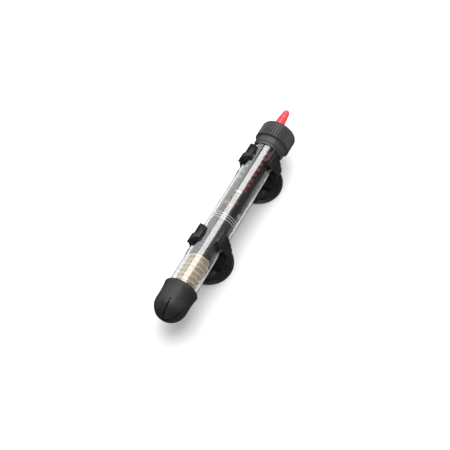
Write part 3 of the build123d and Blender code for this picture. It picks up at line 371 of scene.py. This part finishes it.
def helix_tube(turns, pitch, wire, radius, start_y, steps, sides):
    """Closed tube of radius wire wound about the heater's axis, starting at the top."""
    mesh = bmesh.new()
    total = int(turns * steps)
    rings = []
    for i in range(total + 1):
        angle = 2 * math.pi * turns * i / total
        y = start_y + pitch * turns * i / total
        ring = []
        for k in range(sides):
            round_angle = 2 * math.pi * k / sides
            out = radius + wire * math.cos(round_angle)
            ring.append(mesh.verts.new(on_tube(angle, out, y + wire * math.sin(round_angle))))
        rings.append(ring)
    for a, b in zip(rings, rings[1:]):
        for k in range(sides):
            mesh.faces.new((a[k], a[(k + 1) % sides], b[(k + 1) % sides], b[k]))
    mesh.faces.new(rings[0])
    mesh.faces.new(list(reversed(rings[-1])))
    bmesh.ops.recalc_face_normals(mesh, faces=mesh.faces)
    made = bpy.data.meshes.new("helix")
    mesh.to_mesh(made)
    mesh.free()
    return made


def ring_band(start_y, end_y, inner, outer, segments=128):
    """Closed band round the heater's axis."""
    mesh = bmesh.new()
    loops = []
    for i in range(segments):
        angle = 2 * math.pi * i / segments
        corners = ((inner, start_y), (outer, start_y), (outer, end_y), (inner, end_y))
        loops.append([mesh.verts.new(on_tube(angle, r, y)) for r, y in corners])
    for a, b in zip(loops, loops[1:] + loops[:1]):
        for k in range(4):
            mesh.faces.new((a[k], a[(k + 1) % 4], b[(k + 1) % 4], b[k]))
    bmesh.ops.recalc_face_normals(mesh, faces=mesh.faces)
    made = bpy.data.meshes.new("band")
    mesh.to_mesh(made)
    mesh.free()
    return made


# the sleeve's radius is 8.95 mm
PRINT_INNER = 8.958 * MM
PRINT_DEPTH = 0.03 * MM
PRINT_STEP = 0.3 * MM


def bend_round_sleeve(flat, angle_deg, y):
    """Bends a flat mesh drawn in X (across) and Y (along) to lie at PRINT_INNER, Z outwards."""
    mesh = bmesh.new()
    mesh.from_mesh(flat)
    xs = [v.co.x for v in mesh.verts]
    cut = min(xs) + PRINT_STEP
    while cut < max(xs):
        geometry = list(mesh.verts) + list(mesh.edges) + list(mesh.faces)
        bmesh.ops.bisect_plane(mesh, geom=geometry, plane_co=(cut, 0, 0), plane_no=(1, 0, 0))
        cut += PRINT_STEP
    for vert in mesh.verts:
        angle = math.radians(angle_deg) + vert.co.x / PRINT_INNER
        vert.co = on_tube(angle, PRINT_INNER + vert.co.z, y + vert.co.y)
    bmesh.ops.recalc_face_normals(mesh, faces=mesh.faces)
    mesh.to_mesh(flat)
    mesh.free()


def numeral(text, size_mm, angle_deg, station_mm, name, ink, bold_mm):
    """Number or sign on the scale sleeve, with half its depth to each side of PRINT_INNER."""
    curve = bpy.data.curves.new(name, "FONT")
    curve.body = text
    curve.size = size_mm * MM
    curve.align_x, curve.align_y = "CENTER", "CENTER"
    curve.extrude = PRINT_DEPTH / 2
    curve.offset = bold_mm * MM
    curve.resolution_u = 3
    holder = bpy.data.objects.new(name, curve)
    flat = bpy.data.meshes.new_from_object(holder)
    bpy.data.objects.remove(holder)
    bend_round_sleeve(flat, angle_deg, station(station_mm))
    piece_from(flat, name, ink, "heater", smooth=False)


def patch(width_mm, height_mm, angle_deg, station_mm, name, ink, round_mm):
    """Rounded rectangle printed on the scale sleeve."""
    mesh = bmesh.new()
    half_w, half_h = width_mm / 2 - round_mm, height_mm / 2 - round_mm
    outline = []
    for corner, (sx, sy) in enumerate(((1, 1), (-1, 1), (-1, -1), (1, -1))):
        for k in range(4):
            turn = math.radians(90 * corner + 30 * k)
            outline.append(
                (
                    (sx * half_w + round_mm * math.cos(turn)) * MM,
                    (sy * half_h + round_mm * math.sin(turn)) * MM,
                )
            )
    face = mesh.faces.new([mesh.verts.new((x, y, 0)) for x, y in outline])
    raised = bmesh.ops.extrude_face_region(mesh, geom=[face])
    for vert in [g for g in raised["geom"] if isinstance(g, bmesh.types.BMVert)]:
        vert.co.z = PRINT_DEPTH
    flat = bpy.data.meshes.new(name)
    mesh.to_mesh(flat)
    mesh.free()
    bend_round_sleeve(flat, angle_deg, station(station_mm))
    piece_from(flat, name, ink, "heater", smooth=False)


# ---- printing on the scale sleeve ---------------------------------------------------------
# stations and sizes are in millimetres, and angles in degrees from the top toward +X
SCALE_BOTTOM, SCALE_TOP = 113.8, 149.2
CELSIUS = (18, 20, 22, 24, 26, 28, 30, 32)
FAHRENHEIT = (64, 68, 72, 75, 79, 82, 86, 90)
CELSIUS_ANGLE, FAHRENHEIT_ANGLE = 22, -37
CELSIUS_SIZE, FAHRENHEIT_SIZE = 2.9, 2.7
CELSIUS_BOLD, FAHRENHEIT_BOLD = 0.08, 0.06
FAHRENHEIT_DROP = 1.0
# the lowest Fahrenheit numbers are red, and the others white
RED_NUMBERS = 2
for index, (warm, hot) in enumerate(zip(CELSIUS, FAHRENHEIT)):
    place = SCALE_BOTTOM + (SCALE_TOP - SCALE_BOTTOM) * index / (len(CELSIUS) - 1)
    numeral(str(warm), CELSIUS_SIZE, CELSIUS_ANGLE, place, f"celsius_{warm}", RED_INK, CELSIUS_BOLD)
    ink = RED_INK if index < RED_NUMBERS else WHITE_INK
    place -= FAHRENHEIT_DROP
    numeral(str(hot), FAHRENHEIT_SIZE, FAHRENHEIT_ANGLE, place, f"fahrenheit_{hot}", ink, FAHRENHEIT_BOLD)

# each sign is a size, an angle and a station
CELSIUS_SIGN = (2.7, CELSIUS_ANGLE, 101.6)
FAHRENHEIT_SIGN = (2.6, FAHRENHEIT_ANGLE, 104.5)
numeral("°C", *CELSIUS_SIGN, "unit_celsius", RED_INK, bold_mm=0.06)
numeral("°F", *FAHRENHEIT_SIGN, "unit_fahrenheit", RED_INK, bold_mm=0.05)

RING_STATIONS = (86, 88, 90)
RING_HALF = 0.24
for index, place in enumerate(RING_STATIONS):
    low_edge, high_edge = station(place - RING_HALF), station(place + RING_HALF)
    band = ring_band(low_edge, high_edge, PRINT_INNER, PRINT_INNER + PRINT_DEPTH)
    piece_from(band, f"scale_ring_{index}", WHITE_INK, "heater")

# each mark is a width, a height, an angle and a station
GREY_MARK = (3.0, 3.2, 65, 95)
COLOUR_MARKS = ((2.6, 2.6, -30, 99.2), (2.0, 1.2, -14, 99.6), (2.4, 2.2, 3, 98.0), (1.6, 0.8, -14, 97.2))
DASH_STATIONS = (86.5, 89.0, 91.5, 94.0)
DASH_WIDTHS = (3.6, 3.1)
DASH_HEIGHT, DASH_ANGLE = 1.0, -46
patch(*GREY_MARK, "scale_patch", GREY_INK, round_mm=0.3)
for index, mark in enumerate(COLOUR_MARKS):
    patch(*mark, f"colour_mark_{index}", PINK_INK, round_mm=0.35)
for index, place in enumerate(DASH_STATIONS):
    width = DASH_WIDTHS[index % len(DASH_WIDTHS)]
    patch(width, DASH_HEIGHT, DASH_ANGLE, place, f"colour_dash_{index}", PINK_INK, round_mm=0.4)

# ---- heating core: fine resistance wire between the sleeved turns -------------------------
core_low, core_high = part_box("heater_core")
core_radius = (core_high.x - core_low.x) / 2
COIL_PITCH = 4.1 * MM
FINE_TURNS_PER_COIL_TURN = 6
FINE_WIRE = 0.2 * MM
FINE_PITCH = COIL_PITCH / FINE_TURNS_PER_COIL_TURN
FINE_MARGIN = 1.2 * MM
fine_turns = (core_high.y - core_low.y - 2 * FINE_MARGIN) / FINE_PITCH
windings = helix_tube(
    fine_turns, FINE_PITCH, FINE_WIRE, core_radius + FINE_WIRE, core_low.y + FINE_MARGIN, steps=48, sides=6
)
piece_from(windings, "fine_windings", NICHROME, "heater")

# ---- clips: the CAD shape with soft moulded edges -----------------------------------------
CLIP_VOXEL = 0.3 * MM
CLIP_ROUNDS = 2
CLIP_SMOOTHING = 0.5
CLIP_CLEAR = GLASS_RADIUS + 0.04 * MM
WELD_WITHIN = 0.002 * MM


def soft_edged(node, name, material, body):
    """The node's own shape remeshed and smoothed, so that its edges are round as moulded.

    Points that the smoothing pulls into the glass are set back just outside it.
    """
    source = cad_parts[node]
    copy = bpy.data.objects.new(name, source.data.copy())
    bpy.context.scene.collection.objects.link(copy)
    weld = copy.modifiers.new("weld", "WELD")
    weld.merge_threshold = WELD_WITHIN
    remesh = copy.modifiers.new("remesh", "REMESH")
    remesh.mode = "VOXEL"
    remesh.voxel_size = CLIP_VOXEL
    soften = copy.modifiers.new("soften", "SMOOTH")
    soften.factor = CLIP_SMOOTHING
    soften.iterations = CLIP_ROUNDS
    bpy.context.view_layer.update()
    mesh = bpy.data.meshes.new_from_object(copy.evaluated_get(bpy.context.evaluated_depsgraph_get()))
    bpy.data.objects.remove(copy)
    for vert in mesh.vertices:
        out = Vector((vert.co.x, vert.co.z - AXIS_Z))
        if out.length < CLIP_CLEAR and vert.co.z > AXIS_Z - GLASS_RADIUS:
            out = out.normalized() * CLIP_CLEAR
            vert.co.x, vert.co.z = out.x, out.y + AXIS_Z
    made = piece_from(mesh, name, material, body)
    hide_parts(node)


for side in ("upper", "lower"):
    soft_edged(f"clip_{side}", f"moulded_clip_{side}", CLIP_PLASTIC, f"{side}_clip")


# ---- stage --------------------------------------------------------------------------------
def floor_material():
    """Pale matt floor with very faint clouds."""
    made = Shader("studio_floor", (0.92, 0.92, 0.92), 0.9)
    made.bsdf.inputs["Specular IOR Level"].default_value = 0.1
    clouds = made.grain(60, 2)
    made.colour(made.ramp(clouds, (0.3, (0.915, 0.915, 0.915)), (0.7, (0.925, 0.925, 0.925))))
    return made.material


FLOOR_HALF = 4.0
FLOOR_Z = cad_low.z - 0.2 * MM
floor_mesh = bpy.data.meshes.new("floor")
corners = [(x * FLOOR_HALF, y * FLOOR_HALF, FLOOR_Z) for x, y in ((-1, -1), (1, -1), (1, 1), (-1, 1))]
floor_mesh.from_pydata(corners, [], [(0, 1, 2, 3)])
floor = bpy.data.objects.new("floor", floor_mesh)
bpy.context.scene.collection.objects.link(floor)
floor_mesh.materials.append(floor_material())
floor.visible_glossy = False

WORLD_LIGHT = 0.06
world = bpy.data.worlds.new("studio")
bpy.context.scene.world = world
world.use_nodes = True
world.node_tree.nodes["Background"].inputs["Color"].default_value = (1, 1, 1, 1)
world.node_tree.nodes["Background"].inputs["Strength"].default_value = WORLD_LIGHT


def softbox(name, centre, aim, width, depth, radiance, no_gloss=False):
    """Rectangular lamp of a given radiance that faces a point, reflected unless no_gloss."""
    lamp = bpy.data.lights.new(name, "AREA")
    lamp.shape = "RECTANGLE"
    lamp.size, lamp.size_y = width, depth
    lamp.energy = radiance * math.pi * width * depth
    held = bpy.data.objects.new(name, lamp)
    bpy.context.scene.collection.objects.link(held)
    held.location = centre
    held.rotation_mode = "QUATERNION"
    held.rotation_quaternion = (Vector(aim) - Vector(centre)).to_track_quat("-Z", "Y")
    held.visible_camera = False
    held.visible_glossy = not no_gloss


# the strip box and the left panel show in reflections, and the two fills don't
softbox("strip_box", (-0.12, 0.42, 0.8), (-0.12, 0.42, 0), 0.60, 1.3, 3.0)
softbox("sky_fill", (-0.5, 0.3, 1.3), (0, 0, 0), 2.6, 2.4, 1.5, no_gloss=True)
softbox("right_fill", (1.2, -0.2, 0.9), (0, 0, 0.02), 1.2, 1.2, 1.6, no_gloss=True)
softbox("left_panel", (-1.3, 0.42, 0.62), (0, 0.1, 0.02), 1.0, 1.6, 1.0)
